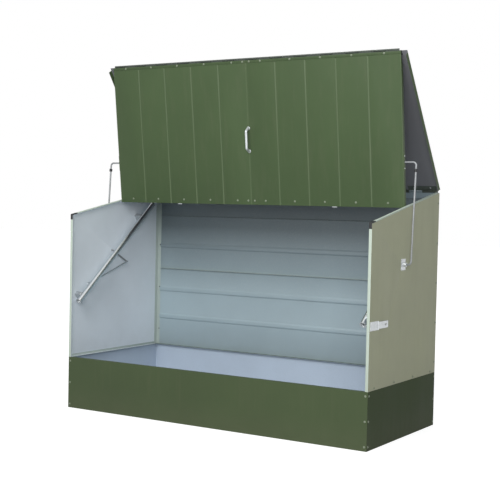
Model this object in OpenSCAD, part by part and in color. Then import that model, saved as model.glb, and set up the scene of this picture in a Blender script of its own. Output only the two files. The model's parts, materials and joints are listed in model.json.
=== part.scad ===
// Bike shelter with a folding lid, drawn open. Millimetres, +X right, +Y back, +Z up.

/* [View] */
// Sub-part to draw, or all of them

/* [Body] */
// Outer width over the side walls
body_w = 1960; // [1600:10:2400]
// Outer depth, front wall edge to rear wall
body_d = 860; // [700:10:1000]
// Height of the plinth
plinth_h = 300; // [200:2:400]
// Height of a side wall at the front
front_h = 1140; // [1000:5:1250]
// Height of a side wall at the rear
rear_h = 1312; // [1200:2:1450]
// Sheet thickness
sheet = 1.5; // [1:0.1:3]
// Width of the folded wall edges
flange = 16; // [10:1:20]
// Width of the plinth's folded top edge
plinth_lip = 20; // [12:1:30]

/* [Rear wall] */
// Height of the lower panel seam
seam_low = 798; // [700:2:850]
// Height of the top panel, down from the wall's edge
top_band = 172; // [120:2:260]
// Depth of a pressed swage
swage_d = 6; // [3:0.5:10]
// Height of a pressed swage
swage_h = 36; // [20:1:50]
// Leg of the corner posts
post_leg = 25; // [18:1:40]
// Height of the header under the hinge
header_h = 30; // [20:1:45]
// Depth of the header
header_d = 20; // [15:1:30]

/* [Lid] */
// Angle of the open roof above level
open_angle = 55; // [50:0.1:66]
// Lean of the hanging door, bottom towards the back
door_tilt = 7; // [0:0.1:8]
// Roof overhang past each side wall
roof_over = 7; // [6.5:0.5:12]
// Depth of the roof's side lips
roof_lip = 26; // [15:1:40]
// Depth of the door tray
door_depth = 20; // [14:1:24]
// Side gap between the door and a folded wall edge
door_side = 6; // [5:0.5:15]
// Gap under the closed door
door_gap = 16; // [8:1:30]
// Boards pressed into each half of the lid
boards = 5; // [3:1:8]
// Width of a pressed groove
groove_w = 12; // [6:1:20]
// Depth of a pressed groove
groove_d = 3; // [1:0.5:5]
// Width of the handle over its feet
handle_len = 150; // [100:5:200]
// How far the handle stands off the door
handle_out = 34; // [25:1:45]
// Radius of the handle's bar
handle_r = 6; // [4:0.5:8]
// Handle centre below the lid hinge
handle_drop = 458; // [350:2:560]
// Height of the rail along the door's foot
rail_h = 36; // [24:1:50]
// Width of the strips behind the middle seams
strip_w = 44; // [30:2:60]
// Depth of the strips behind the middle seams
strip_d = 10; // [6:1:12]
// End of the roof's strip behind the lid hinge
strip_stop = 120; // [80:5:200]

/* [Hinges] */
// Radius of the hinge knuckles
knuckle_r = 5; // [4:0.5:7]
// Knuckles on each hinge leaf
knuckles = 12; // [6:1:20]
// Width of a hinge leaf
leaf_w = 34; // [25:1:45]

/* [Linkage] */
// Radius of the lift rods
rod_r = 5; // [4:0.5:7]
// Rod centre outside the side wall
rod_out = 45; // [30:1:55]
// Length of the bearing boss on a bracket
boss_len = 20; // [12:1:22]
// Clip on a rod below its hook
clip_drop = 36; // [20:1:120]
// Length of a rod's clip
clip_len = 16; // [10:1:30]
// Hook on the door below the lid hinge
hook_drop = 588; // [560:2:620]
// Rod pivot behind the middle of the hook's two ends
pivot_back = 200; // [180:1:215]
// Length of the crank inside the wall
crank_len = 150; // [130:1:160]
// Angle of the open crank
crank_open = -29; // [-33:1:-25]
// Link's anchor in front of the middle of the crank's two ends
link_reach = 370; // [360:2:390]
// Radius of the link wire
link_r = 4; // [2:0.5:5]
// Radius of the spring tube
tube_r = 17; // [12:0.5:18]
// Length of the spring tube
tube_len = 915; // [800:5:930]
// Slope of the spring tube
tube_tilt = 39.7; // [38:0.1:41]
// Tube end in front of the link's anchor
tube_tail = 149; // [100:1:160]
// Depth of the tube's open mouth
mouth = 40; // [20:1:60]
// Upper saddle below the tube's end
saddle_end = 150; // [100:5:200]

/* [Fittings] */
// Height of the hasp's middle
hasp_z = 627; // [560:1:700]
// Length of the hasp's fixed leaf
hasp_leaf = 86; // [60:1:100]
// Length of the hasp's strap
hasp_strap = 116; // [80:1:130]
// Height of the hasp
hasp_h = 46; // [30:1:60]
// Height of the edge trim over the walls
trim_h = 6; // [4:0.5:7]
// Length of the corner caps
cap_len = 42; // [20:1:60]
// Height of the hook plates
plate_h = 90; // [60:2:120]

/* [Hidden] */
$fn = 48;
hw = body_w / 2;
hd = body_d / 2;
inw = hw - sheet;
ind = hd - sheet;
seam_high = rear_h - top_band;
slope = atan((rear_h - front_h) / body_d);
hinge_y = hd - 6;
hinge_z = rear_h + 8;
nose_y = -hd - 16;
roof_len = (hinge_y - nose_y) / cos(slope);
nose_z = hinge_z - (hinge_y - nose_y) * tan(slope);
lid_turn = open_angle + slope;
p_y = hinge_y - roof_len * cos(open_angle);
p_z = hinge_z + roof_len * sin(open_angle);
door_len = nose_z - plinth_h - door_gap;
plate_t = 3;
door_hw = hw - flange - door_side - plate_t;
roof_hw = hw + roof_over;
skin_off = 2;
hook_in = 4;
qc = [nose_y + hook_in, nose_z - hook_drop];
qo_y = p_y + hook_in * cos(door_tilt) + hook_drop * sin(door_tilt);
qo_z = p_z + hook_in * sin(door_tilt) - hook_drop * cos(door_tilt);
qo = [qo_y, qo_z];
chord = qo - qc;
b = (qo + qc) / 2 + pivot_back * [chord[1], -chord[0]] / norm(chord);
rod_len = norm(qo - b);
rod_open = atan2(qo[1] - b[1], qo[0] - b[0]);
rod_closed = atan2(qc[1] - b[1], qc[0] - b[0]) + 360;
rod_turn = rod_closed - rod_open;
co = b + crank_len * [cos(crank_open), sin(crank_open)];
cc = b + crank_len * [cos(crank_open + rod_turn), sin(crank_open + rod_turn)];
e = (co + cc) / 2 - link_reach * [cc[1] - co[1], co[0] - cc[0]] / norm(co - cc);
link_len = norm(co - e);
link_open = atan2(co[1] - e[1], co[0] - e[0]);
link_closed = atan2(cc[1] - e[1], cc[0] - e[0]);
crank_r = 4;
crank_x = inw - crank_r - 3.5;
link_x = crank_x - crank_r - link_r - 4;
tube_x = link_x - link_r - 7 - tube_r;
tube_clear = tube_x - tube_r - 5;
t0 = e - tube_tail * [cos(tube_tilt), sin(tube_tilt)];
saddle_a = 36;
saddle_b = tube_len - saddle_end;
foot = plinth_h;
green = [0.30, 0.38, 0.26];
cream = [0.66, 0.69, 0.60];
grey = [0.64, 0.68, 0.72];
zinc = [0.75, 0.77, 0.78];
black = [0.06, 0.06, 0.06];

// height of the side walls' top edge at a depth
function top_at(y) = front_h + (y + hd) * tan(slope);

// box between two corners
module bx(x0, x1, y0, y1, z0, z1) {
  translate([x0, y0, z0])
    cube([x1 - x0, y1 - y0, z1 - z0]);
}

// outline in depth and height, drawn out along X
module side_shape(x0, x1, pts) {
  translate([x0, 0, 0])
    rotate([90, 0, 90])
      linear_extrude(height = x1 - x0)
        polygon(pts);
}

// bar along X
module bar_x(x0, x1, p, r) {
  translate([x0, p[0], p[1]])
    rotate([0, 90, 0])
      cylinder(r = r, h = x1 - x0);
}

// bar in a plane of constant X
module bar_yz(x, p, len, ang, r) {
  translate([x, p[0], p[1]])
    rotate([ang - 90, 0, 0])
      cylinder(r = r, h = len);
}

module ball(x, p, r) {
  translate([x, p[0], p[1]])
    sphere(r = r);
}

// the roof's own frame: hinge at the origin, front edge at -Y
module on_roof() {
  translate([0, hinge_y, hinge_z])
    rotate([-open_angle, 0, 0])
      children();
}

// the door's own frame: lid hinge at the origin, bottom at -Z
module on_door() {
  translate([0, p_y, p_z])
    rotate([door_tilt, 0, 0])
      children();
}

// knuckles of one leaf along X, first or second of each pair
module knuckle_row(half, second) {
  pitch = 2 * half / knuckles;
  for (i = [0 : knuckles - 1]) {
    x0 = -half + i * pitch + second * pitch / 2 + 1;
    bar_x(x0, x0 + pitch / 2 - 2, [0, 0], knuckle_r);
  }
}

// webs that tie the knuckles to their leaf
module web_row(half, second, y0, y1, z0, z1) {
  pitch = 2 * half / knuckles;
  for (i = [0 : knuckles - 1]) {
    x0 = -half + i * pitch + second * pitch / 2 + 1;
    bx(x0, x0 + pitch / 2 - 2, y0, y1, z0, z1);
  }
}

// slots in a hinge leaf that let the lid sheet's grooves through
module groove_slots(w, y0, y1, z0, z1) {
  h = groove_w / 2 + 1;
  for (s = [-1, 1])
    for (i = [1 : boards - 1])
      bx(s * w * i / boards - h, s * w * i / boards + h, y0, y1, z0, z1);
}

module floor_panel() {
  color(grey)
    bx(-inw, inw, -ind, ind, 0, 2);
}

module front_plinth() {
  color(green)
    union() {
      bx(-hw, hw, -hd, -ind, 0, foot);
      bx(-inw, inw, -ind - 0.5, -ind + plinth_lip, foot - sheet, foot);
    }
}

module rear_plinth() {
  color(green)
    union() {
      bx(-hw, hw, ind, hd, 0, foot);
      bx(-inw, inw, ind - plinth_lip, ind + 0.5, foot - sheet, foot);
    }
}

module right_plinth() {
  color(green)
    union() {
      bx(inw, hw, -ind, ind, 0, foot);
      bx(inw - plinth_lip, inw + 0.5, -ind + plinth_lip, ind - plinth_lip, foot - sheet, foot);
    }
}

module left_plinth() {
  mirror([1, 0, 0])
    right_plinth();
}

module right_wall() {
  top = [[-hd, front_h], [hd - header_d - 4, top_at(hd - header_d - 4)]];
  color(cream)
    difference() {
      union() {
        side_shape(inw, hw, [[-hd, foot], [hd, foot], [hd, rear_h], [-hd, front_h]]);
        bx(hw - flange, inw + 0.5, -hd, -ind, foot, front_h - 2 * sheet);
        bx(hw - flange, inw + 0.5, -ind - 0.5, ind - post_leg - 2, foot, foot + sheet);
        side_shape(hw - flange, inw + 0.5, [top[0] - [0, sheet], top[1] - [0, sheet], top[1], top[0]]);
      }
      bar_x(inw - 1, hw + 1, b, rod_r + 2);
    }
}

module left_wall() {
  mirror([1, 0, 0])
    right_wall();
}

// one pressed swage, as points down the rear wall's inner face
function swage(z) = [
  [ind, z + swage_h / 2], [ind - swage_d, z + swage_h / 4],
  [ind - swage_d, z - swage_h / 4], [ind, z - swage_h / 2]
];
function swage_back(z) = [
  [hd, z - swage_h / 2], [hd - swage_d, z - swage_h / 4],
  [hd - swage_d, z + swage_h / 4], [hd, z + swage_h / 2]
];

module rear_panel_low() {
  za = foot + (seam_low - foot) * 0.37;
  zb = foot + (seam_low - foot) * 0.73;
  back = concat([[hd, foot]], swage_back(za), swage_back(zb), [[hd, seam_low]]);
  lip = [[ind - 10, seam_low], [ind - 10, seam_low - sheet], [ind, seam_low - sheet]];
  face = concat(lip, swage(zb), swage(za), [[ind, foot]]);
  color(grey)
    side_shape(-inw + post_leg, inw - post_leg, concat(back, face));
}

module rear_panel_mid() {
  za = seam_low + (seam_high - seam_low) * 0.44;
  back = concat([[hd, seam_low]], swage_back(za), [[hd, seam_high]]);
  lip = [[ind - 10, seam_high], [ind - 10, seam_high - sheet], [ind, seam_high - sheet]];
  face = concat(lip, swage(za), [[ind, seam_low]]);
  color(grey)
    side_shape(-inw + post_leg, inw - post_leg, concat(back, face));
}

module rear_panel_top() {
  face = [[ind, rear_h], [ind, seam_high]];
  color(grey)
    side_shape(-inw + post_leg, inw - post_leg, concat([[hd, seam_high], [hd, rear_h]], face));
}

module right_corner_post() {
  color(cream)
    union() {
      bx(inw - post_leg, inw, ind, hd, foot, rear_h);
      bx(inw - sheet, inw, ind - post_leg, ind + 0.5, foot, rear_h - 2 - header_h);
    }
}

module left_corner_post() {
  mirror([1, 0, 0])
    right_corner_post();
}

module rear_header() {
  zt = rear_h - 2;
  color(grey)
    union() {
      bx(-inw, inw, ind - header_d, ind, zt - sheet, zt);
      bx(-inw, inw, ind - header_d, ind - header_d + sheet, zt - header_h, zt);
      bx(-inw, inw, ind - header_d, ind, zt - header_h, zt - header_h + sheet);
      translate([0, hinge_y, hinge_z])
        knuckle_row(inw - 20, 0);
      translate([0, hinge_y, 0])
        web_row(inw - 20, 0, -1, 1, zt - 0.5, hinge_z);
    }
}

module right_cap() {
  f = -hd - 2;
  k = -hd + cap_len;
  over = [[k, top_at(k)], [k, top_at(k) + trim_h], [f, top_at(f) + trim_h]];
  front = [[f, front_h - 26], [-hd, front_h - 26], [-hd, front_h]];
  color(black)
    side_shape(hw - flange, hw, concat(over, front));
}

module left_cap() {
  mirror([1, 0, 0])
    right_cap();
}

module right_trim() {
  a = -hd + cap_len;
  k = ind - header_d - 3;
  color(cream)
    side_shape(hw - flange, hw, [
      [a, top_at(a)], [k, top_at(k)],
      [k, top_at(k) + trim_h], [a, top_at(a) + trim_h]
    ]);
}

module left_trim() {
  mirror([1, 0, 0])
    right_trim();
}

module right_bracket() {
  color(zinc)
    difference() {
      union() {
        bx(hw, hw + 3, b[0] - 28, b[0] + 28, b[1] - 30, b[1] + 30);
        bar_x(hw + 2, hw + boss_len, b, rod_r + 6);
      }
      bar_x(hw - 1, hw + rod_out, b, rod_r + 0.6);
    }
}

module left_bracket() {
  mirror([1, 0, 0])
    right_bracket();
}

module right_hasp() {
  a = -hd + 4;
  k = a + hasp_leaf + 2;
  color(zinc)
    difference() {
      union() {
        bx(hw, hw + 3, a, a + hasp_leaf, hasp_z - hasp_h / 2, hasp_z + hasp_h / 2);
        translate([hw + 4, k, hasp_z - hasp_h / 2])
          cylinder(r = 4, h = hasp_h);
        bx(hw + 2, hw + 5, k, k + hasp_strap, hasp_z - hasp_h / 2 + 5, hasp_z + hasp_h / 2 - 5);
        bx(hw, hw + 2.5, k + 12, k + 40, hasp_z - hasp_h / 2 + 9, hasp_z + hasp_h / 2 - 9);
      }
      bar_x(hw - 1, hw + 8, [k + hasp_strap - 26, hasp_z], 6);
    }
}

module left_hasp() {
  mirror([1, 0, 0])
    right_hasp();
}

module right_tube() {
  color(zinc)
    union() {
      difference() {
        bar_yz(tube_x, t0, tube_len, tube_tilt, tube_r);
        bar_yz(tube_x, t0 - [cos(tube_tilt), sin(tube_tilt)], mouth + 1, tube_tilt, tube_r - 2);
      }
      bar_x(tube_x + tube_r - 5, link_x + link_r + 3, e, 5);
    }
}

module left_tube() {
  mirror([1, 0, 0])
    right_tube();
}

// saddle that holds the tube off the wall, at a distance along it
module saddle(s) {
  translate([0, t0[0], t0[1]])
    rotate([tube_tilt, 0, 0])
      difference() {
        bx(tube_x, inw, s, s + 24, -tube_r - 6, tube_r + 6);
        translate([tube_x, s - 1, 0])
          rotate([-90, 0, 0])
            cylinder(r = tube_r, h = 26);
      }
}

module right_saddles() {
  color(zinc)
    saddle(saddle_a);
  color(zinc)
    saddle(saddle_b);
}

module left_saddles() {
  mirror([1, 0, 0])
    right_saddles();
}

// lid sheet with pressed grooves: outline in X and depth, from the middle out
function groove(x) = [[x - groove_w / 2, 0], [x, groove_d], [x + groove_w / 2, 0]];
function grooves(w) = [for (i = [1 : boards - 1]) each groove(w * i / boards)];
function flip(p, t) = [for (i = [len(p) - 1 : -1 : 0]) [p[i][0], p[i][1] + t]];
function skin_face(w) = concat([[0, 0]], grooves(w), [[w, 0]]);
function skin_pts(w) = concat(skin_face(w), flip(skin_face(w), sheet));

module roof_panel_right() {
  f = -roof_len + 8;
  color(green)
    on_roof()
      union() {
        translate([0, -8, skin_off + sheet])
          rotate([90, 0, 0])
            mirror([0, 1, 0])
              linear_extrude(height = -8 - f)
                polygon(skin_pts(roof_hw));
        bx(roof_hw - sheet, roof_hw, f + 14, -16, -roof_lip, skin_off + sheet);
      }
}

module roof_panel_left() {
  mirror([1, 0, 0])
    roof_panel_right();
}

module roof_rear_leaf() {
  color(zinc)
    on_roof()
      union() {
        difference() {
          bx(-inw + 10, inw - 10, -leaf_w, -knuckle_r - 1.5, 0.5, skin_off);
          groove_slots(roof_hw, -leaf_w - 1, -8, 0, skin_off + 1);
        }
        web_row(inw - 20, 1, -knuckle_r - 2, 0, 0.5, skin_off);
        knuckle_row(inw - 20, 1);
      }
}

module roof_front_leaf() {
  color(zinc)
    on_roof()
      translate([0, -roof_len, 0])
        union() {
          difference() {
            bx(-door_hw, door_hw, knuckle_r + 1.5, leaf_w, 0.5, skin_off);
            groove_slots(roof_hw, 8, leaf_w + 1, 0, skin_off + 1);
          }
          web_row(door_hw - 10, 0, 0, knuckle_r + 2, 0.5, skin_off);
          knuckle_row(door_hw - 10, 0);
        }
}

module roof_seam() {
  color(grey)
    on_roof()
      bx(-strip_w / 2, strip_w / 2, -roof_len + strip_stop, -leaf_w - 6, skin_off - strip_d - 1, skin_off);
}

module door_panel_right() {
  w = door_hw;
  back = door_depth - skin_off;
  wing = [[-skin_off, -30], [back, -80], [back, -door_len], [-skin_off, -door_len]];
  color(green)
    on_door()
      union() {
        translate([0, -skin_off - sheet, -door_len])
          linear_extrude(height = door_len - 8)
            polygon(skin_pts(w));
        side_shape(w - sheet, w, wing);
        bx(0, tube_clear, -skin_off - 0.5, door_depth - skin_off, -door_len, -door_len + sheet);
      }
}

module door_panel_left() {
  mirror([1, 0, 0])
    door_panel_right();
}

module door_top_leaf() {
  color(zinc)
    on_door()
      union() {
        difference() {
          bx(-door_hw, door_hw, -skin_off, -0.5, -leaf_w, -knuckle_r - 1.5);
          groove_slots(door_hw, -skin_off - 1, 0, -leaf_w - 1, -8);
        }
        web_row(door_hw - 10, 1, -skin_off, -0.5, -knuckle_r - 2, 0);
        knuckle_row(door_hw - 10, 1);
      }
}

module door_bottom_rail() {
  w = tube_clear;
  k = door_depth - skin_off;
  color(grey)
    on_door()
      union() {
        bx(-w, w, -skin_off + groove_d, k, -door_len + sheet, -door_len + 2 * sheet);
        bx(-w, w, k - sheet, k, -door_len + sheet, -door_len + rail_h);
      }
}

module door_seam() {
  color(grey)
    on_door()
      bx(-strip_w / 2, strip_w / 2, -skin_off, strip_d - skin_off, -door_len + rail_h + 2, -leaf_w - 6);
}

module door_handle() {
  y0 = -skin_off - sheet;
  a = handle_len / 2 - 10;
  color(zinc)
    on_door()
      translate([0, y0, -handle_drop])
        union() {
          for (s = [-1, 1])
            translate([0, 0, s * a])
              rotate([90, 0, 0])
                cylinder(r = 10, h = 3);
          for (s = [-1, 1])
            translate([0, 0, s * a])
              rotate([90, 0, 0])
                cylinder(r = handle_r, h = handle_out - handle_r);
          for (s = [-1, 1])
            translate([0, -handle_out + handle_r, s * a])
              sphere(r = handle_r);
          translate([0, -handle_out + handle_r, -a])
            cylinder(r = handle_r, h = 2 * a);
        }
}

module right_hook_plate() {
  color(zinc)
    on_door()
      translate([0, 0, -hook_drop])
        bx(door_hw, door_hw + plate_t, -skin_off, door_depth - skin_off - 4, -plate_h / 2, plate_h / 2);
}

module left_hook_plate() {
  mirror([1, 0, 0])
    right_hook_plate();
}

module right_catch() {
  x = door_hw * 0.55;
  k = door_depth - skin_off;
  color(zinc)
    on_door()
      bx(x - 15, x + 15, k, k + 3, -door_len - 8, -door_len + 32);
}

module left_catch() {
  mirror([1, 0, 0])
    right_catch();
}

module right_rod() {
  x = hw + rod_out;
  color(zinc)
    union() {
      bar_x(crank_x, x, b, rod_r);
      ball(x, b, rod_r + 0.6);
      bar_yz(x, b, rod_len, rod_open, rod_r);
      ball(x, qo, rod_r + 0.6);
      bar_x(door_hw + plate_t + 2, x, qo, rod_r);
      ball(crank_x, b, rod_r + 0.8);
      bar_yz(crank_x, b, crank_len, crank_open, crank_r);
      ball(crank_x, co, crank_r + 0.6);
      bar_x(link_x + link_r + 1, crank_x, co, crank_r);
    }
}

module left_rod() {
  mirror([1, 0, 0])
    right_rod();
}

module right_rod_clip() {
  x = hw + rod_out;
  over = [cos(rod_open), sin(rod_open)];
  at = qo - (clip_drop + clip_len) * over;
  color(black)
    difference() {
      bar_yz(x, at, clip_len, rod_open, rod_r + 4);
      bar_yz(x, at - over, clip_len + 2, rod_open, rod_r);
    }
}

module left_rod_clip() {
  mirror([1, 0, 0])
    right_rod_clip();
}

module right_link() {
  color(zinc)
    difference() {
      union() {
        bar_x(link_x - link_r - 0.8, link_x + link_r + 0.8, e, 10);
        bar_yz(link_x, e, link_len, link_open, link_r);
      }
      bar_x(link_x - link_r - 2, link_x + link_r + 2, e, 5.6);
    }
}

module left_link() {
  mirror([1, 0, 0])
    right_link();
}

floor_panel();
front_plinth();
rear_plinth();
left_plinth();
right_plinth();
left_wall();
right_wall();
rear_panel_low();
rear_panel_mid();
rear_panel_top();
left_corner_post();
right_corner_post();
rear_header();
left_cap();
right_cap();
left_trim();
right_trim();
left_bracket();
right_bracket();
left_hasp();
right_hasp();
left_tube();
right_tube();
left_saddles();
right_saddles();
roof_panel_left();
roof_panel_right();
roof_rear_leaf();
roof_front_leaf();
roof_seam();
door_panel_left();
door_panel_right();
door_top_leaf();
door_bottom_rail();
door_seam();
door_handle();
left_hook_plate();
right_hook_plate();
left_catch();
right_catch();
left_rod();
right_rod();
left_rod_clip();
right_rod_clip();
left_link();
right_link();
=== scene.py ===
"""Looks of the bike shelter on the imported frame: coated sheet, zinc fittings, fasteners,
camera and light."""

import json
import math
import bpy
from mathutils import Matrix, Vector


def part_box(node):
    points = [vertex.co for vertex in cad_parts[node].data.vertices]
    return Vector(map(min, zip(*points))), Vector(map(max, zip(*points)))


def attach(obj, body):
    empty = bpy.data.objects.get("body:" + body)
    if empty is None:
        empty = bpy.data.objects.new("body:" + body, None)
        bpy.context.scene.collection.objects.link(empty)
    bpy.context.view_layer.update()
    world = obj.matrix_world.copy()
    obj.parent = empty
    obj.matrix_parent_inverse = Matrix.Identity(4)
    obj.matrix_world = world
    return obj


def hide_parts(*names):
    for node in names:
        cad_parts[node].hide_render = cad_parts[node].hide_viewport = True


bl_info = {
    "name": "Bike Shelter",
    "version": (1, 0, 0),
    "blender": (4, 5, 0),
    "location": "View3D > Sidebar > Shelter",
    "description": "Dresses the bike shelter's frame with its sheets, fittings and fasteners",
    "category": "Object",
}

import bpy
from bpy.props import FloatProperty, FloatVectorProperty, PointerProperty
from bpy.types import Operator, Panel, PropertyGroup
from mathutils import Matrix, Vector

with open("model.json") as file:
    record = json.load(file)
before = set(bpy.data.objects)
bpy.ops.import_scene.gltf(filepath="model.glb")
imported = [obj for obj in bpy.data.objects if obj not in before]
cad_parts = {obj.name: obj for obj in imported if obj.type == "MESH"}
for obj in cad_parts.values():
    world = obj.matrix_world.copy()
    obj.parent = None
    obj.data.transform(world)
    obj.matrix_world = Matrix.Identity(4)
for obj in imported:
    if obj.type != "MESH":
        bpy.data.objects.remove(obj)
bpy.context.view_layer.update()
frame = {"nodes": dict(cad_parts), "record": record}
NODES = frame["nodes"]
BODIES = frame["record"]["behaviour"]["bodies"]
BODY_OF = {n: body for body, names in BODIES.items() for n in names}
SLOT_OF = {s["node"]: s["material_slot"] for s in frame["record"]["subparts"]}
JOINTS = {j["name"]: j for j in frame["record"]["behaviour"]["joints"]}

# Sizes that follow the part's source, in metres

BOARDS = 5              # boards pressed in each half of the door
SHEET = 0.0015          # drawn thickness of the sheets
PLATE = 0.003           # thickness of the hasps and brackets
SKIN = 0.0035           # the door's outer face in front of its hinge
STRIP_FACE = 0.0049     # the edge strip's outer face in front of the door's hinge
STRIP_DROP = 0.0155     # the edge strip's middle below the door's hinge
HOOK_DROP = 0.588       # the rods' hooks below the door's hinge, along the door
HOOK_BACK = 0.004       # the rods' hooks behind the door's hinge
CRANK_LEN = 0.150
CRANK_OPEN = math.radians(-29)
CRANK_INSET = 0.009     # the crank's middle inside the wall's outer face
CRANK_BEND = 0.0065
PIN_REACH = 0.004       # the crank's pin beyond the middle of the link
TUBE_TILT = math.radians(39.7)
TUBE_TAIL = 0.149       # from the link's pivot down to the tube's mouth

# The photograph's camera, with its focal length and shift in pixels of a 500-pixel picture

PICTURE = 500
SENSOR = 36
CAMERA = {"at": (3.326, -5.325, 1.212), "yaw": -31.77, "pitch": -2.23, "roll": 1.23,
          "focal": 1089.7, "shift": (3.9, -0.9)}

# Name, place, aim, watts and size of each area light

LIGHTS = (
    ("key", (0.4, -4.6, 4.2), (0, 0, 0.9), 186, 2.6),
    ("fill", (3.3, -5.3, 2.4), (0, 0, 0.7), 142, 2.4),
    ("back", (-2.5, 6.0, 4.2), (0, 0, 0.9), 170, 3.0),
)

# Places read from the frame

ROOF_AT = Vector(JOINTS["roof_hinge"]["pos_m"])
DOOR_AT = Vector(JOINTS["door_hinge"]["pos_m"])
ROD_AT = Vector(JOINTS["right_rod_pivot"]["pos_m"])
LINK_AT = Vector(JOINTS["right_link_pivot"]["pos_m"])
ROOF_OPEN = math.atan2(DOOR_AT.z - ROOF_AT.z, ROOF_AT.y - DOOR_AT.y)
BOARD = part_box("door_panel_right")[1][0] / BOARDS
HALF_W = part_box("front_plinth")[1][0]
HALF_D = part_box("rear_plinth")[1][1]
PLINTH_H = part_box("front_plinth")[1][2]


def door_lean():
    """Lean of the open door: it is upright when shut, and turns by more than the roof does."""
    turn = JOINTS["door_hinge"]["range_deg"][1] - JOINTS["roof_hinge"]["range_deg"][1]
    return math.radians(turn)


DOOR_TURN = Matrix.Translation(DOOR_AT) @ Matrix.Rotation(door_lean(), 4, "X")
ROOF_TURN = Matrix.Translation(ROOF_AT) @ Matrix.Rotation(-ROOF_OPEN, 4, "X")
DOOR_OUT = (DOOR_TURN.to_3x3() @ Vector((0, -1, 0))).normalized()
ROOF_OUT = (ROOF_TURN.to_3x3() @ Vector((0, 0, 1))).normalized()


def srgb(r, g, b):
    """Screen colour, 0 to 255, as linear light."""
    return tuple(((c / 255 + 0.055) / 1.055) ** 2.4 if c > 10 else c / 255 / 12.92
                 for c in (r, g, b))


FOLD = srgb(192, 205, 192)
POST = srgb(166, 178, 174)
WELL = srgb(184, 197, 212)
SOFFIT = srgb(116, 117, 121)
HINGE = srgb(80, 87, 80)
DUST = srgb(120, 116, 98)
# Painted highlight along the door's board joints
JOINT_HIGHLIGHT = srgb(150, 166, 132)
WORN = srgb(120, 118, 110)


def colour(label, text, rgb):
    return FloatVectorProperty(name=label, description=text, subtype="COLOR", size=3,
                               min=0, max=1, default=srgb(*rgb))


def length(label, text, metres):
    return FloatProperty(name=label, description=text, subtype="DISTANCE", unit="LENGTH",
                         default=metres)


def share(label, text, value):
    return FloatProperty(name=label, description=text, default=value, min=0, max=1)


class ShelterFinish(PropertyGroup):
    """Colours of the shelter's finishes."""

    green: colour("Green", "Coated sheet of the door and roof", (74, 92, 61))
    plinth: colour("Plinth", "Coated sheet of the plinth", (71, 84, 57))
    cream: colour("Cream", "Coated sheet of the side walls", (186, 189, 160))
    grey: colour("Grey", "Backing coat on the inner faces", (228, 236, 243))
    back: colour("Back", "Backing coat on the rear panels and the door", (130, 145, 151))
    zinc: colour("Zinc", "Plated rods, tubes and plates", (196, 200, 202))
    black: colour("Black", "Moulded caps and clips", (24, 25, 27))
    screw: colour("Screw", "Painted screw heads", (136, 146, 126))
    grain: share("Grain", "Depth of the coat's embossed grain", 0.16)
    soil: share("Soil", "Strength of dust and rain marks", 0.35)


class ShelterSizes(PropertyGroup):
    """Sizes of the pieces that the scene adds."""

    screw_r: length("Screw radius", "Radius of a roofing screw's head", 0.0042)
    screw_h: length("Screw height", "Height of a roofing screw's head", 0.0035)
    rivet_r: length("Rivet radius", "Radius of a blind rivet's head", 0.004)
    fold: length("Fold radius", "Radius of the sheets' folded edges", 0.0006)
    rod_r: length("Rod radius", "Radius of the lift rods", 0.005)
    rod_bend: length("Rod bend", "Radius of the lift rods' bends", 0.018)
    tube_r: length("Tube radius", "Radius of the spring tubes", 0.017)
    spring_wire: length("Spring wire", "Radius of the spring's wire", 0.0016)


# Materials


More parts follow.
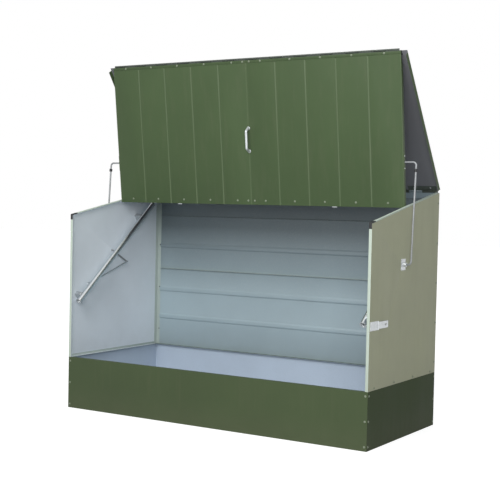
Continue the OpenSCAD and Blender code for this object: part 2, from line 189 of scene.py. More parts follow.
class Net:
    """A material's node tree, with short calls to add and join nodes."""

    def __init__(self, name):
        self.mat = bpy.data.materials.new(name)
        self.mat.use_nodes = True
        self.tree = self.mat.node_tree
        self.shader = self.tree.nodes["Principled BSDF"]
        self.coords = self.add("ShaderNodeTexCoord")

    def add(self, kind, **settings):
        made = self.tree.nodes.new(kind)
        for key, value in settings.items():
            setattr(made, key, value)
        return made

    def link(self, out, into):
        self.tree.links.new(out, into)

    def put(self, value, socket):
        """Sets a socket to a number or colour, or links it to an output."""
        if isinstance(value, (int, float)):
            socket.default_value = value
        elif isinstance(value, tuple):
            socket.default_value = (*value, 1)
        else:
            self.link(value, socket)

    def mapped(self, scale=(1, 1, 1)):
        made = self.add("ShaderNodeMapping")
        made.inputs["Scale"].default_value = scale
        self.link(self.coords.outputs["Object"], made.inputs["Vector"])
        return made.outputs["Vector"]

    def noise(self, scale, detail=3, rough=0.55, stretch=(1, 1, 1)):
        made = self.add("ShaderNodeTexNoise")
        made.inputs["Scale"].default_value = scale
        made.inputs["Detail"].default_value = detail
        made.inputs["Roughness"].default_value = rough
        self.link(self.mapped(stretch), made.inputs["Vector"])
        return made.outputs["Fac"]

    def spread(self, value, given, wanted):
        """A value's given range mapped to the wanted one, held at its ends."""
        made = self.add("ShaderNodeMapRange")
        for key, number in zip(("From Min", "From Max", "To Min", "To Max"), (*given, *wanted)):
            made.inputs[key].default_value = number
        self.link(value, made.inputs["Value"])
        return made.outputs["Result"]

    def math(self, what, a, b=0):
        made = self.add("ShaderNodeMath", operation=what)
        for value, socket in zip((a, b), made.inputs):
            self.put(value, socket)
        return made.outputs["Value"]

    def mix(self, fac, a, b, blend="MIX"):
        made = self.add("ShaderNodeMix", data_type="RGBA", blend_type=blend)
        for index, value in ((0, fac), (6, a), (7, b)):
            self.put(value, made.inputs[index])
        return made.outputs[2]

    def facing(self, way):
        """How far the surface faces a way fixed in the piece, -1 to 1."""
        made = self.add("ShaderNodeVectorMath", operation="DOT_PRODUCT")
        self.link(self.coords.outputs["Normal"], made.inputs[0])
        made.inputs[1].default_value = tuple(way)
        return made.outputs["Value"]

    def place(self, axis):
        """Place along X, Y or Z."""
        parts = self.add("ShaderNodeSeparateXYZ")
        self.link(self.coords.outputs["Object"], parts.inputs["Vector"])
        return parts.outputs[axis]

    def bump(self, value, strength, distance, below=None):
        made = self.add("ShaderNodeBump")
        made.inputs["Strength"].default_value = strength
        made.inputs["Distance"].default_value = distance
        self.link(value, made.inputs["Height"])
        if below is not None:
            self.link(below, made.inputs["Normal"])
        return made.outputs["Normal"]

    def finish(self, base, rough, normal, metal=0.0, specular=0.5):
        self.shader.inputs["Metallic"].default_value = metal
        self.shader.inputs["Specular IOR Level"].default_value = specular
        for name, value in (("Base Color", base), ("Roughness", rough), ("Normal", normal)):
            self.link(value, self.shader.inputs[name])
        return self.mat


def shade(rgb, by):
    return tuple(min(1.0, c * by) for c in rgb)


def coated_sheet(name, outside, inside, out, lowest=None, turn=-0.3, soil=1.0, fold=None,
                 board=None, gloss=0.2, painted_shade_heights=None):
    """Plastic-coated steel: an embossed coat outside and a smooth backing coat inside.

    Where given: splashes above the lowest edge, a front fold of its own colour, painted highlights
    on the board joints a board apart, and painted shade on the backing coat, darker towards the
    top.
    """
    look = bpy.context.scene.shelter_finish
    net = Net(name)
    side = net.spread(net.facing(out), (turn - 0.05, turn + 0.05), (0, 1))
    cloud = net.noise(2.2, detail=4, rough=0.6)
    streak = net.noise(9, detail=4, rough=0.6, stretch=(3.2, 3.2, 0.22))
    speck = net.noise(260, detail=2, rough=0.5)
    clouded = net.spread(cloud, (0.3, 0.7), (0, 1))
    coat = net.mix(clouded, shade(outside, 0.93), shade(outside, 1.06))
    back = net.mix(clouded, shade(inside, 0.94), shade(inside, 1.04))
    # Painted shade: the backing coat is multiplied lighter low down and darker high up, standing in
    # for the shade of the roof and door
    if painted_shade_heights is not None:
        back = net.mix(1.0, back, net.spread(net.place("Z"), *painted_shade_heights), "MULTIPLY")
    body = net.mix(side, back, coat)
    if fold is not None:
        front = net.spread(net.facing((0, -1, 0)), (0.6, 0.7), (0, 1))
        body = net.mix(front, body, fold)
    body = net.mix(net.spread(speck, (0.55, 0.75), (0, 0.10)), body, shade(outside, 1.35))
    # Painted highlight: pale lines along the door's board joints, standing in for light caught by
    # the grooves
    if board is not None:
        steps = net.math("DIVIDE", net.math("ABSOLUTE", net.place("X")), board)
        part = net.math("FRACT", net.math("ADD", steps, 0.5))
        off = net.math("ABSOLUTE", net.math("SUBTRACT", part, 0.5))
        joint_highlight = net.math("MULTIPLY", net.spread(off, (0.016, 0.034), (0.17, 0)),
                         net.spread(cloud, (0.3, 0.6), (1, 0.35)))
        body = net.mix(net.math("MULTIPLY", side, joint_highlight), body, JOINT_HIGHLIGHT)
    rain = net.spread(streak, (0.52, 0.8), (0, look.soil * 0.3 * soil))
    dust = net.math("MULTIPLY", side, rain)
    if lowest is not None:
        splash = net.spread(net.place("Z"), (lowest, lowest + 0.16), (look.soil * 0.6, 0))
        patches = net.noise(14, detail=5, rough=0.65)
        dust = net.math("MAXIMUM", dust, net.math("MULTIPLY", splash, patches))
    body = net.mix(dust, body, DUST)
    rough = net.math("ADD", net.spread(cloud, (0.25, 0.75), (0.42, 0.54)),
                     net.spread(streak, (0.4, 0.8), (0, 0.10)))
    grain = net.bump(net.noise(1500, detail=2, rough=0.5), look.grain, 0.0004)
    dents = net.bump(net.noise(5.5, detail=2, rough=0.4), 0.05, 0.02, grain)
    return net.finish(body, rough, dents, specular=gloss)


def plated(name, rgb, metal=0.85, rough=(0.26, 0.44), spots=0.5):
    """Zinc plate with a faint spangle, drawing lines and dull spots."""
    net = Net(name)
    cells = net.add("ShaderNodeTexVoronoi")
    cells.inputs["Scale"].default_value = 140
    net.link(net.mapped(), cells.inputs["Vector"])
    tone = net.spread(cells.outputs["Distance"], (0, 0.8), (0, 1))
    spot = net.noise(38, detail=4, rough=0.6)
    base = net.mix(tone, shade(rgb, 1 - 0.24 * spots), shade(rgb, 1 + 0.1 * spots))
    base = net.mix(net.spread(spot, (0.55, 0.8), (0, spots)), base, shade(rgb, 0.6))
    dull = net.spread(spot, (0.3, 0.75), rough)
    drawn = net.noise(700, detail=2, rough=0.5, stretch=(1, 0.1, 0.1))
    return net.finish(base, dull, net.bump(drawn, 0.1 * spots, 0.0002), metal)


def moulded(name, rgb):
    """Matt moulded plastic with a fine spark-eroded skin."""
    net = Net(name)
    cloud = net.noise(30, detail=3, rough=0.5)
    base = net.mix(net.spread(cloud, (0.35, 0.7), (0, 1)), shade(rgb, 0.8), shade(rgb, 1.5))
    rough = net.spread(cloud, (0.3, 0.7), (0.5, 0.66))
    skin = net.noise(2600, detail=2, rough=0.5)
    return net.finish(base, rough, net.bump(skin, 0.12, 0.0003))


def painted_screw(name, rgb):
    """Paint on a screw head, worn to metal in spots."""
    net = Net(name)
    worn = net.noise(420, detail=3, rough=0.6)
    base = net.mix(net.spread(worn, (0.56, 0.72), (0, 0.8)), rgb, WORN)
    rough = net.spread(worn, (0.3, 0.7), (0.34, 0.5))
    return net.finish(base, rough, net.bump(worn, 0.08, 0.0003), specular=0.3)


def look(finish):
    """The material of a finish, made when it is first asked for."""
    name = "shelter_" + finish
    got = bpy.data.materials.get(name)
    if got:
        return got
    f = bpy.context.scene.shelter_finish
    green, plinth, cream, grey, back, zinc, black, screw = (
        tuple(c) for c in (f.green, f.plinth, f.cream, f.grey, f.back, f.zinc, f.black, f.screw))
    left, right, front, rear, top = (-1, 0, 0), (1, 0, 0), (0, -1, 0), (0, 1, 0), (0, 0, 1)
    # Painted shade: the plinth's left and right sides take a darker copy of the plinth's coat
    side_painted_shade, floor = shade(plinth, 0.78), shade(grey, 0.63)
    wall = {"lowest": PLINTH_H, "turn": 0.4, "soil": 0.4, "fold": FOLD}
    # Painted shade on the rear wall's backing coat: two heights, then the tone below and above them
    rear_painted_shade = ((0.62, 1.08), (1.45, 0.62))
    makers = {
        "green_door": (coated_sheet, (shade(green, 0.92), back, DOOR_OUT), {"board": BOARD}),
        "green_roof": (coated_sheet, (green, SOFFIT, ROOF_OUT), {}),
        "green_front": (coated_sheet, (plinth, WELL, front), {"lowest": 0.0}),
        "green_rear": (coated_sheet, (plinth, WELL, rear), {"lowest": 0.0}),
        "green_left": (coated_sheet, (side_painted_shade, WELL, left), {"lowest": 0.0, "gloss": 0.05}),
        "green_right": (coated_sheet, (side_painted_shade, WELL, right), {"lowest": 0.0, "gloss": 0.05}),
        # Painted shade: the edge strip takes a darker copy of the door's green
        "green_edge": (coated_sheet, (shade(green, 0.84), grey, DOOR_OUT), {}),
        "cream_left": (coated_sheet, (cream, grey, left), wall),
        "cream_right": (coated_sheet, (cream, grey, right), wall),
        "cream_rear": (coated_sheet, (cream, back, rear),
                       {"lowest": PLINTH_H, "gloss": 0.7, "painted_shade_heights": rear_painted_shade}),
        "cream_post": (coated_sheet, (cream, POST, rear), {"turn": 0.4}),
        "cream_trim": (coated_sheet, (FOLD, FOLD, top), {}),
        "grey_sheet": (coated_sheet, (floor, floor, top), {}),
        "grey_header": (coated_sheet, (back, back, top), {}),
        "zinc_plate": (plated, (zinc,), {}),
        "zinc_hinge": (plated, (HINGE,), {"metal": 0.5, "rough": (0.42, 0.58)}),
        "zinc_bright": (plated, (shade(zinc, 1.1),),
                        {"metal": 0.5, "rough": (0.28, 0.4), "spots": 0.2}),
        "zinc_rod": (plated, (shade(zinc, 0.52),), {"metal": 0.4, "rough": (0.36, 0.5)}),
        "zinc_tube": (plated, (shade(zinc, 1.3),),
                      {"metal": 1.0, "rough": (0.22, 0.28), "spots": 0.04}),
        "black_mould": (moulded, (black,), {}),
        "screw_paint": (painted_screw, (screw,), {}),
    }
    maker, values, more = makers[finish]
    return maker(name, *values, **more)


def look_of(node):
    """Name of the finish that a CAD node takes."""
    if node.startswith("door_panel"):
        return "green_door"
    if node.startswith("roof_panel"):
        return "green_roof"
    if node.endswith("_plinth"):
        return "green_" + node.split("_")[0]
    if node in ("left_wall", "right_wall"):
        return "cream_" + node.split("_")[0]
    if node.startswith("rear_panel"):
        return "cream_rear"
    if node.endswith("corner_post"):
        return "cream_post"
    if node.endswith("_trim"):
        return "cream_trim"
    if node == "rear_header":
        return "grey_header"
    if node.endswith("_leaf"):
        return "zinc_hinge"
    if node.endswith("_hook_plate"):
        return "green_door"
    if node.endswith(("_tube", "_link")):
        return "zinc_tube"
    slot = SLOT_OF[node]
    return {"grey_sheet": "grey_sheet", "black_plastic": "black_mould"}.get(slot, "zinc_plate")


# Modelling


def deselect():
    if bpy.context.mode != "OBJECT":
        bpy.ops.object.mode_set(mode="OBJECT")
    bpy.ops.object.select_all(action="DESELECT")


def pick(piece):
    deselect()
    piece.select_set(True)
    bpy.context.view_layer.objects.active = piece
    return piece


def edit(action=None):
    """Goes into edit mode, and selects or deselects all if asked."""
    bpy.ops.object.mode_set(mode="EDIT")
    if action:
        bpy.ops.mesh.select_all(action=action)


def done():
    bpy.ops.object.mode_set(mode="OBJECT")


def edit_faces(piece, test):
    """Goes into edit mode with the faces that pass a test selected."""
    for face in piece.data.polygons:
        face.select = test(face)
    edit()


def extrude(way):
    bpy.ops.mesh.extrude_region_move(TRANSFORM_OT_translate={"value": way})


def settle(piece):
    """Puts a piece's place and turn into its mesh."""
    pick(piece)
    bpy.ops.object.transform_apply(location=True, rotation=True, scale=True)


def modify(piece, kind, **settings):
    pick(piece)
    made = piece.modifiers.new(kind.lower(), kind)
    for key, value in settings.items():
        setattr(made, key, value)
    bpy.ops.object.modifier_apply(modifier=made.name)


def bevel(piece, width, segments, degrees):
    """Rounds the edges that turn by more than an angle."""
    modify(piece, "BEVEL", width=width, segments=segments, limit_method="ANGLE",
           angle_limit=math.radians(degrees), use_clamp_overlap=True)


def smooth(piece, degrees=35):
    pick(piece)
    bpy.ops.object.shade_smooth_by_angle(angle=math.radians(degrees))


def clean(piece):
    """Merges doubles, closes open ends and turns the faces outwards."""
    pick(piece)
    edit("SELECT")
    bpy.ops.mesh.remove_doubles(threshold=1e-5)
    bpy.ops.mesh.fill_holes(sides=16)
    bpy.ops.mesh.select_all(action="SELECT")
    bpy.ops.mesh.normals_make_consistent(inside=False)
    done()


def dress(piece, name, body, finish, nodes=()):
    piece.name = name
    piece.data.name = name
    piece.data.materials.clear()
    piece.data.materials.append(look(finish))
    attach(piece, body)
    if nodes:
        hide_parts(*nodes)
    return piece


def copy_of(piece, place):
    """A copy of a piece at a place, free of the original's body."""
    pick(piece)
    bpy.ops.object.duplicate()
    twin = bpy.context.object
    twin.parent = None
    twin.matrix_world = place
    for key in list(twin.keys()):
        if key.startswith("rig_"):
            del twin[key]
    return twin


def softened(node, width, segments=2):
    """A copy of a CAD node with its edges rounded as a press or mould leaves them."""
    piece = pick(copy_of(NODES[node], Matrix.Identity(4)))
    edit("SELECT")
    bpy.ops.mesh.remove_doubles(threshold=2e-6)
    bpy.ops.mesh.dissolve_limited(angle_limit=math.radians(0.5))
    done()
    bevel(piece, width, segments, 15)
    smooth(piece, 25)
    return dress(piece, node + "_sheet", BODY_OF[node], look_of(node), (node,))


def mirrored(piece):
    """A copy of a piece for the other side."""
    twin = copy_of(piece, Matrix.Diagonal((-1, 1, 1, 1)))
    settle(twin)
    clean(twin)
    smooth(twin)
    return twin


def blank(size, middle):
    """A flat strip of a size about a place, to be folded further."""
    deselect()
    bpy.ops.mesh.primitive_cube_add(size=1, location=middle)
    strip = bpy.context.object
    strip.scale = size
    settle(strip)
    return strip


def pipe(points, radius, bends, sides=20, steps=7):
    """A bent bar: a disc extruded along each run and spun round each corner by its own bend."""
    spots = [Vector(p) for p in points]
    first = (spots[1] - spots[0]).normalized()
    deselect()
    bpy.ops.mesh.primitive_circle_add(vertices=sides, radius=radius, fill_type="NGON",
                                      location=spots[0],
                                      rotation=first.to_track_quat("Z", "Y").to_euler())
    piece = bpy.context.object
    settle(piece)
    edit("SELECT")
    here = spots[0]
    for before, corner, after, bend in zip(spots, spots[1:], spots[2:], bends):
        a, b = (corner - before).normalized(), (after - corner).normalized()
        turn = a.angle(b)
        cut = bend * math.tan(turn / 2)
        axis = a.cross(b).normalized()
        start = corner - a * cut
        extrude(start - here)
        # In the background the spin turns the other way round its axis
        bpy.ops.mesh.spin(steps=steps, angle=-turn, center=start + axis.cross(a) * bend, axis=axis)
        here = corner + b * cut
    extrude(spots[-1] - here)
    done()
    clean(piece)
    bevel(piece, radius * 0.25, 2, 60)
    clean(piece)
    smooth(piece)
    return piece


def joined(pieces):
    deselect()
    for piece in pieces:
        piece.select_set(True)
    bpy.context.view_layer.objects.active = pieces[0]
    if len(pieces) > 1:
        bpy.ops.object.join()
    return bpy.context.object


def discard(piece):
    pick(piece)
    bpy.ops.object.delete()


def screw_head(radius, height):
    """One pan-head screw on a washer, standing on +Z at the origin."""
    washer_h, wall_h, crown_h = height * 0.3, height * 0.5, height * 0.2
    deselect()
    bpy.ops.mesh.primitive_cylinder_add(vertices=14, radius=radius * 1.45, depth=washer_h,
                                        location=(0, 0, washer_h / 2))
    head = bpy.context.object
    settle(head)
    edit("DESELECT")
    done()
    edit_faces(head, lambda face: face.normal.z > 0.9)
    bpy.ops.mesh.inset(thickness=radius * 0.45)
    extrude((0, 0, wall_h))
    extrude((0, 0, crown_h))
    bpy.ops.transform.resize(value=(0.72, 0.72, 1), center_override=(0, 0, height))
    bpy.ops.mesh.inset(thickness=radius * 0.34)
    extrude((0, 0, -height * 0.45))
    done()
    smooth(head, 40)
    return head


def rivet_head(radius):
    """One domed blind rivet, standing on +Z at the origin."""
    deselect()
    bpy.ops.mesh.primitive_uv_sphere_add(segments=12, ring_count=8, radius=radius,
                                         location=(0, 0, 0))
    head = bpy.context.object
    settle(head)
    edit("SELECT")
    bpy.ops.mesh.bisect(plane_co=(0, 0, 0), plane_no=(0, 0, 1), clear_inner=True, use_fill=True)
    bpy.ops.mesh.select_all(action="SELECT")
    bpy.ops.transform.resize(value=(1, 1, 0.45), center_override=(0, 0, 0))
    done()
    clean(head)
    smooth(head)
    return head


def set_out(head, places, name, body, finish):
    """Copies a fastener to each place and its mirror image, and joins the copies.

    A place is a point and the way that the fastener faces.
    """
    flip = [((-p[0], p[1], p[2]), (-w[0], w[1], w[2])) for p, w in places]
    made = []
    for spot, way in [*places, *flip]:
        turn = Vector(way).to_track_quat("Z", "Y").to_matrix().to_4x4()
        one = copy_of(head, Matrix.Translation(spot) @ turn)
        settle(one)
        made.append(one)
    return dress(joined(made), name, body, finish)


def on_door(x, y, z):
    return DOOR_TURN @ Vector((x, y, z))


def on_roof(x, y, z):
    return ROOF_TURN @ Vector((x, y, z))


def spaced(count, first, last):
    return [first + k * (last - first) / (count - 1) for k in range(count)]


# Pieces


class SHELTER_OT_sheets(Operator):
    """Round the folds of the coated sheets and moulded edges"""

    bl_idname = "shelter.sheets"
    bl_label = "Sheets"

    def execute(self, context):
        fold = context.scene.shelter_sizes.fold
        cap_edge, saddle_edge = 0.0022, 0.003
        for node in ("front_plinth", "rear_plinth", "left_plinth", "right_plinth",
                     "left_wall", "right_wall", "rear_panel_low", "rear_panel_mid",
                     "door_panel_left", "door_panel_right",
                     "roof_panel_left", "roof_panel_right", "door_bottom_rail",
                     "left_corner_post", "right_corner_post"):
            softened(node, fold)
        for node in ("roof_seam", "door_seam"):
            softened(node, fold * 5, 3)
        for node in ("left_cap", "right_cap", "left_trim", "right_trim"):
            softened(node, cap_edge, 4)
        for node in ("left_saddles", "right_saddles"):
            softened(node, saddle_edge, 3)
        for node in ("left_tube", "right_tube", "left_link", "right_link"):
            softened(node, fold)
        for node, thing in NODES.items():
            if not thing.get("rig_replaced") and thing.type == "MESH":
                thing.data.materials.clear()
                thing.data.materials.append(look(look_of(node)))
        return {"FINISHED"}


class SHELTER_OT_fittings(Operator):
    """Round the plates of the hasps, brackets, hook plates and catches"""

    bl_idname = "shelter.fittings"
    bl_label = "Wall and door fittings"

    def execute(self, context):
        plate_edge, clip_edge = 0.0007, 0.0012
        for side in ("left", "right"):
            for kind in ("hasp", "bracket", "hook_plate", "catch"):
                softened(side + "_" + kind, plate_edge)
            softened(side + "_rod_clip", clip_edge, 3)
        return {"FINISHED"}


class SHELTER_OT_rods(Operator):
    """Bend the lift rods, with the crank inside the wall"""

    bl_idname = "shelter.rods"
    bl_label = "Lift rods"

    def execute(self, context):
        size = context.scene.shelter_sizes
        past_plate = 0.002
        hook = on_door(0, HOOK_BACK, -HOOK_DROP)
        hook_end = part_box("right_hook_plate")[1][0] + past_plate
        crank = (ROD_AT.y + CRANK_LEN * math.cos(CRANK_OPEN),
                 ROD_AT.z + CRANK_LEN * math.sin(CRANK_OPEN))
        x_out = ROD_AT.x
        x_in = HALF_W - CRANK_INSET
        points = [(LINK_AT.x + PIN_REACH, *crank), (x_in, *crank), (x_in, ROD_AT.y, ROD_AT.z),
                  (x_out, ROD_AT.y, ROD_AT.z), (x_out, hook.y, hook.z),
                  (hook_end, hook.y, hook.z)]
        bends = (CRANK_BEND, CRANK_BEND, size.rod_bend, size.rod_bend)
        right = pipe(points, size.rod_r, bends)
        left = mirrored(right)
        dress(right, "right_lift_rod", "right_rod", "zinc_rod", ("right_rod",))
        dress(left, "left_lift_rod", "left_rod", "zinc_rod", ("left_rod",))
        return {"FINISHED"}


class SHELTER_OT_handle(Operator):
    """Bend the bow handle and set it on its two feet"""

    bl_idname = "shelter.handle"
    bl_label = "Handle"

    def execute(self, context):
        low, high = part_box("door_handle")
        z = (DOOR_TURN.inverted() @ ((Vector(low) + Vector(high)) / 2)).z
        half, out, neck, slant = 0.065, 0.0315, 0.008, 0.016
        bar_r, bend = 0.0075, 0.009
        foot_r, foot_h, foot_edge = 0.0105, 0.003, 0.0011
        course = [(-SKIN, -half), (-SKIN - neck, -half), (-out, slant - half),
                  (-out, half - slant), (-SKIN - neck, half), (-SKIN, half)]
        bar = pipe([on_door(0, y, z + up) for y, up in course], bar_r, (bend,) * 4)
        feet = []
        for up in (-half, half):
            deselect()
            bpy.ops.mesh.primitive_cylinder_add(vertices=28, radius=foot_r, depth=foot_h)
            foot = bpy.context.object
            foot.matrix_world = (DOOR_TURN @ Matrix.Translation((0, -SKIN - foot_h / 2, z + up))
                                 @ Matrix.Rotation(math.pi / 2, 4, "X"))
            settle(foot)
            bevel(foot, foot_edge, 3, 40)
            smooth(foot)
            feet.append(foot)
        dress(joined([bar, *feet]), "bow_handle", "door", "zinc_bright",
              ("door_handle",))
        return {"FINISHED"}


class SHELTER_OT_edge_strip(Operator):
    """Press the capping strip along the door's top edge"""

    bl_idname = "shelter.edge_strip"
    bl_label = "Door edge strip"

    def execute(self, context):
        thick, tall, raised, edge = 0.0011, 0.015, 0.0003, 0.0003
        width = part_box("door_panel_right")[1][0] * 2
        strip = blank((width, thick, tall), (0, raised + thick / 2 - STRIP_FACE, -STRIP_DROP))
        edit_faces(strip, lambda face: face.normal.y < -0.9)
        bpy.ops.mesh.inset(thickness=0.0015)
        extrude((0, -raised, 0))
        done()
        bevel(strip, edge, 2, 40)
        strip.matrix_world = DOOR_TURN
        settle(strip)
        clean(strip)
        smooth(strip)
        dress(strip, "door_edge_strip", "door", "green_edge")
        return {"FINISHED"}


class SHELTER_OT_hinge_cover(Operator):
    """Fold the strip that closes the gap behind the roof's hinge"""

    bl_idname = "shelter.hinge_cover"
    bl_label = "Hinge cover"

    def execute(self, context):
        thick, off, lap, above, edge = 0.0010, 0.0006, 0.004, 0.0095, 0.0003
        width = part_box("roof_rear_leaf")[1][0] * 2
        low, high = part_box("rear_panel_top")[1][2] - lap, ROOF_AT.z + above
        strip = blank((width, thick, high - low), (0, HALF_D + off, (low + high) / 2))
        edit_faces(strip, lambda face: face.normal.z > 0.9)
        extrude((0, 0.0012, 0.0012))
        extrude((0, 0.0030, 0.0002))
        done()
        clean(strip)
        bevel(strip, edge, 2, 30)
        smooth(strip)
        dress(strip, "hinge_cover", "shell", "zinc_hinge")
        return {"FINISHED"}


class SHELTER_OT_foot_strips(Operator):
    """Fold the angle strips that close the feet of the side walls inside"""

    bl_idname = "shelter.foot_strips"
    bl_label = "Foot strips"

    def execute(self, context):
        thick, tall, off, lift = 0.0009, 0.014, 0.0005, 0.0071
        leg, leg_thick, short, edge = 0.011, 0.0012, 0.056, 0.0003
        face = -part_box("right_wall")[1][0] + SHEET
        strip = blank((thick, HALF_D * 2 - short, tall), (face + off, 0, PLINTH_H + lift))
        edit("SELECT")
        bpy.ops.mesh.bisect(plane_co=(0, 0, PLINTH_H + leg_thick), plane_no=(0, 0, 1))
        bpy.ops.mesh.select_all(action="DESELECT")
        done()
        edit_faces(strip, lambda flat: flat.normal.x > 0.9 and flat.center.z < PLINTH_H + 0.001)
        extrude((leg, 0, 0))
        done()
        clean(strip)
        bevel(strip, edge, 2, 40)
        smooth(strip)
        twin = mirrored(strip)
        dress(strip, "left_foot_strip", "shell", "cream_post")
        dress(twin, "right_foot_strip", "shell", "cream_post")
        return {"FINISHED"}


def spring_coil(size, stand):
    """The wound end of a spring, in a tube's mouth."""
    turns, long, clear, start, steps = 6, 0.032, 0.0048, 0.004, 120
    deselect()
    bpy.ops.mesh.primitive_circle_add(vertices=8, radius=size.spring_wire,
                                      location=(size.tube_r - clear, 0, start),
                                      rotation=(math.pi / 2, 0, 0))
    coil = bpy.context.object
    settle(coil)
    modify(coil, "SCREW", angle=math.tau * turns, screw_offset=long, steps=steps,
           render_steps=steps, axis="Z", use_normal_calculate=True, use_merge_vertices=True)
    coil.matrix_world = stand
    settle(coil)
    clean(coil)
    smooth(coil)
    return coil


def tube_collar(size, stand):
    """The rolled collar round a tube's mouth."""
    over, tall, thick, edge, drop = 0.0013, 0.004, 0.0030, 0.0009, 0.001
    deselect()
    bpy.ops.mesh.primitive_circle_add(vertices=48, radius=size.tube_r + over, fill_type="NOTHING")
    collar = bpy.context.object
    edit("SELECT")
    extrude((0, 0, tall))
    bpy.ops.mesh.select_all(action="SELECT")
    bpy.ops.mesh.normals_make_consistent(inside=False)
    done()
    modify(collar, "SOLIDIFY", thickness=thick, offset=-1)
    bevel(collar, edge, 3, 40)
    collar.matrix_world = stand @ Matrix.Translation((0, 0, -drop))
    settle(collar)
    smooth(collar)
    return collar


class SHELTER_OT_springs(Operator):
    """Wind the spring ends that show in the tubes' lower mouths, and add their collars"""

    bl_idname = "shelter.springs"
    bl_label = "Springs"

    def execute(self, context):
        size = context.scene.shelter_sizes
        along = Vector((0, math.cos(TUBE_TILT), math.sin(TUBE_TILT)))
        mouth = LINK_AT - along * TUBE_TAIL
        mouth.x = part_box("right_tube")[0][0] + size.tube_r
        stand = Matrix.Translation(mouth) @ along.to_track_quat("Z", "X").to_matrix().to_4x4()
        coil = spring_coil(size, stand)
        right = joined([tube_collar(size, stand), coil])
        left = mirrored(right)
        dress(right, "right_spring", "shell", "zinc_plate")
        dress(left, "left_spring", "shell", "zinc_plate")
        return {"FINISHED"}


def door_places():
    """Screws along the door's edge strip and its bottom edge, with a pair by the seam."""
    from_foot, from_seam = 0.012, 0.022
    low = (DOOR_TURN.inverted() @ Vector(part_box("door_panel_right")[0])).z
    places = []
    for x in (from_seam, *(BOARD * (i + 0.5) for i in range(BOARDS))):
        places.append((on_door(x, -STRIP_FACE, -STRIP_DROP), DOOR_OUT))
        places.append((on_door(x, -SKIN, low + from_foot), DOOR_OUT))
    return places


def wall_places():
    """Screws down the corners of the plinth and the walls, and along the walls' feet."""
    in_edge, plinth_end, wall_end, foot_end, above = 0.013, 0.022, 0.06, 0.07, 0.012
    side, front, rear = (1, 0, 0), (0, -1, 0), (0, 1, 0)
    x_in, y_in = HALF_W - in_edge, HALF_D - in_edge
    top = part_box("right_corner_post")[1][2]
    places = []
    for z in spaced(3, plinth_end, PLINTH_H - plinth_end):
        places += [((x_in, -HALF_D, z), front), ((HALF_W, -y_in, z), side),
                   ((HALF_W, y_in, z), side), ((x_in, HALF_D, z), rear)]
    for z in spaced(5, PLINTH_H + wall_end, top - wall_end):
        places += [((HALF_W, y_in, z), side), ((x_in, HALF_D, z), rear)]
    for y in spaced(4, foot_end - HALF_D, HALF_D - foot_end):
        places.append(((HALF_W, y, PLINTH_H + above), side))
    return places


def plate_places():
    """Rivets of the hasp and the rod bracket."""
    low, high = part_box("right_hasp")
    middle = (low[2] + high[2]) / 2
    hasp = [(low[1] + y, middle + z) for y in (0.014, 0.064) for z in (-0.013, 0.013)]
    bracket = [(ROD_AT.y + y, ROD_AT.z + z) for y in (-0.021, 0.021) for z in (-0.022, 0.022)]
    return [((HALF_W + PLATE, y, z), (1, 0, 0)) for y, z in hasp + bracket]


def rear_places():
    """Rivets along the laps of the rear panels."""
    below = 0.012
    tops = [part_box(node)[1][2] for node in ("rear_panel_low", "rear_panel_mid")]
    return [((x, HALF_D, z - below), (0, 1, 0)) for x in spaced(12, 0.08, 0.905) for z in tops]


def post_places():
    """Plugs down the inner edge of the corner post."""
    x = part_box("right_corner_post")[0][0] + 0.006
    heights = spaced(4, PLINTH_H + 0.10, PLINTH_H + 0.925)
    return [((x, HALF_D - SHEET, z), (0, -1, 0)) for z in heights]


def hook_places():
    """Rivets of the hook plate, above and below the hook."""
    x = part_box("right_hook_plate")[1][0]
    return [(on_door(x, 0.006, z - HOOK_DROP), (1, 0, 0)) for z in (-0.033, 0.033)]


def leaf_places():
    """Rivets of the roof's rear hinge leaf, from below."""
    return [(on_roof(x, -0.022, 0.0005), -ROOF_OUT) for x in spaced(10, 0.05, 0.932)]


class SHELTER_OT_fasteners(Operator):
    """Set out the screws and rivets"""

    bl_idname = "shelter.fasteners"
    bl_label = "Screws and rivets"

    def execute(self, context):
        size = context.scene.shelter_sizes
        screw = screw_head(size.screw_r, size.screw_h)
        rivet = rivet_head(size.rivet_r)
        set_out(screw, door_places(), "door_screws", "door", "screw_paint")
        set_out(screw, wall_places(), "wall_screws", "shell", "screw_paint")
        set_out(rivet, plate_places(), "plate_rivets", "shell", "zinc_plate")
        set_out(rivet, rear_places(), "rear_rivets", "shell", "zinc_plate")
        set_out(rivet, post_places(), "post_plugs", "shell", "black_mould")
        set_out(rivet, hook_places(), "hook_plate_rivets", "door", "zinc_plate")
        set_out(rivet, leaf_places(), "roof_leaf_rivets", "roof", "zinc_plate")
        discard(screw)
        discard(rivet)
        return {"FINISHED"}


# Stage


def eye_rays(tree):
    """1 on the rays that the eye follows, plain, mirrored or through, and 0 on those that light."""
    path = tree.nodes.new("ShaderNodeLightPath")
    seen = path.outputs["Is Camera Ray"]
    for kind in ("Is Glossy Ray", "Is Transmission Ray"):
        made = tree.nodes.new("ShaderNodeMath")
        made.operation = "MAXIMUM"
        tree.links.new(seen, made.inputs[0])
        tree.links.new(path.outputs[kind], made.inputs[1])
        seen = made.outputs["Value"]
    return seen


def lay_floor():
    """A floor that is near white to the eye, and reflects as a grey one."""
    deselect()
    bpy.ops.mesh.primitive_plane_add(size=60, location=(0, 0, -0.0005))
    floor = bpy.context.object
    floor.name = "studio_floor"
    net = Net("studio_floor")
    net.shader.inputs["Base Color"].default_value = (0.36, 0.36, 0.36, 1)
    net.shader.inputs["Roughness"].default_value = 0.9
    net.shader.inputs["Specular IOR Level"].default_value = 0.05
    net.shader.inputs["Emission Color"].default_value = (1, 1, 1, 1)
    reach = net.add("ShaderNodeVectorMath", operation="LENGTH")
    net.link(net.coords.outputs["Object"], reach.inputs[0])
    glow = net.spread(reach.outputs["Value"], (2.5, 9), (0.84, 1))
    shown = net.math("MULTIPLY", eye_rays(net.tree), glow)
    net.link(shown, net.shader.inputs["Emission Strength"])
    floor.data.materials.append(net.mat)


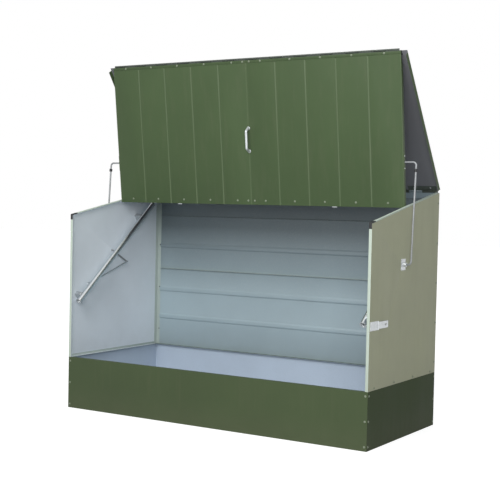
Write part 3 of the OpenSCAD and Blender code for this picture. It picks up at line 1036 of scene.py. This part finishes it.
def set_world(scene):
    """White to the eye, and a soft sky to the part."""
    world = bpy.data.worlds.new("studio")
    scene.world = world
    world.use_nodes = True
    tree = world.node_tree
    tree.nodes.clear()
    soft = tree.nodes.new("ShaderNodeBackground")
    soft.inputs["Color"].default_value = (0.93, 0.96, 1.0, 1)
    soft.inputs["Strength"].default_value = 0.28
    white = tree.nodes.new("ShaderNodeBackground")
    white.inputs["Color"].default_value = (1, 1, 1, 1)
    either = tree.nodes.new("ShaderNodeMixShader")
    for value, socket in zip((eye_rays(tree), soft.outputs[0], white.outputs[0]), either.inputs):
        tree.links.new(value, socket)
    out = tree.nodes.new("ShaderNodeOutputWorld")
    tree.links.new(either.outputs[0], out.inputs["Surface"])


def hang_lights():
    for name, spot, aim, power, size in LIGHTS:
        bpy.ops.object.light_add(type="AREA", location=spot)
        lamp = bpy.context.object
        lamp.name = name
        lamp.data.energy = power
        lamp.data.size = size
        lamp.rotation_mode = "QUATERNION"
        lamp.rotation_quaternion = (Vector(aim) - Vector(spot)).to_track_quat("-Z", "Y")


def set_camera(scene):
    bpy.ops.object.camera_add(location=CAMERA["at"])
    eye = bpy.context.object
    yaw, pitch, roll = (math.radians(CAMERA[k]) for k in ("yaw", "pitch", "roll"))
    way = Vector((math.sin(yaw) * math.cos(pitch), math.cos(yaw) * math.cos(pitch),
                  math.sin(pitch)))
    level = way.cross(Vector((0, 0, 1))).normalized()
    up = level.cross(way)
    across = level * math.cos(roll) + up * math.sin(roll)
    upward = up * math.cos(roll) - level * math.sin(roll)
    turn = Matrix((across, upward, -way)).transposed().to_4x4()
    eye.matrix_world = Matrix.Translation(CAMERA["at"]) @ turn
    eye.data.sensor_width = SENSOR
    eye.data.lens = CAMERA["focal"] / PICTURE * SENSOR
    eye.data.shift_x = -CAMERA["shift"][0] / PICTURE
    eye.data.shift_y = CAMERA["shift"][1] / PICTURE
    eye.data.clip_end = 200
    scene.camera = eye


class SHELTER_OT_stage(Operator):
    """Set the floor, the light and the camera"""

    bl_idname = "shelter.stage"
    bl_label = "Stage"

    def execute(self, context):
        scene = context.scene
        scene.view_settings.view_transform = "Standard"
        lay_floor()
        set_world(scene)
        hang_lights()
        set_camera(scene)
        return {"FINISHED"}


class SHELTER_PT_panel(Panel):
    """Lists the shelter's finishes, sizes and steps"""

    bl_idname = "SHELTER_PT_panel"
    bl_label = "Bike Shelter"
    bl_space_type = "VIEW_3D"
    bl_region_type = "UI"
    bl_category = "Shelter"

    def draw(self, context):
        for group in (context.scene.shelter_finish, context.scene.shelter_sizes):
            for key in group.__annotations__:
                self.layout.prop(group, key)
        for step in STEPS:
            self.layout.operator(step.bl_idname)


STEPS = (SHELTER_OT_sheets, SHELTER_OT_fittings, SHELTER_OT_rods, SHELTER_OT_handle,
         SHELTER_OT_edge_strip, SHELTER_OT_hinge_cover, SHELTER_OT_foot_strips,
         SHELTER_OT_springs, SHELTER_OT_fasteners, SHELTER_OT_stage)
CLASSES = (ShelterFinish, ShelterSizes, *STEPS, SHELTER_PT_panel)


def register():
    for one in CLASSES:
        bpy.utils.register_class(one)
    bpy.types.Scene.shelter_finish = PointerProperty(type=ShelterFinish)
    bpy.types.Scene.shelter_sizes = PointerProperty(type=ShelterSizes)


def unregister():
    del bpy.types.Scene.shelter_sizes
    del bpy.types.Scene.shelter_finish
    for one in reversed(CLASSES):
        bpy.utils.unregister_class(one)


def main():
    register()
    bpy.ops.shelter.stage()
    bpy.ops.shelter.sheets()
    bpy.ops.shelter.fittings()
    bpy.ops.shelter.rods()
    bpy.ops.shelter.handle()
    bpy.ops.shelter.edge_strip()
    bpy.ops.shelter.hinge_cover()
    bpy.ops.shelter.foot_strips()
    bpy.ops.shelter.springs()
    bpy.ops.shelter.fasteners()
    deselect()


if __name__ == "__main__":
    main()
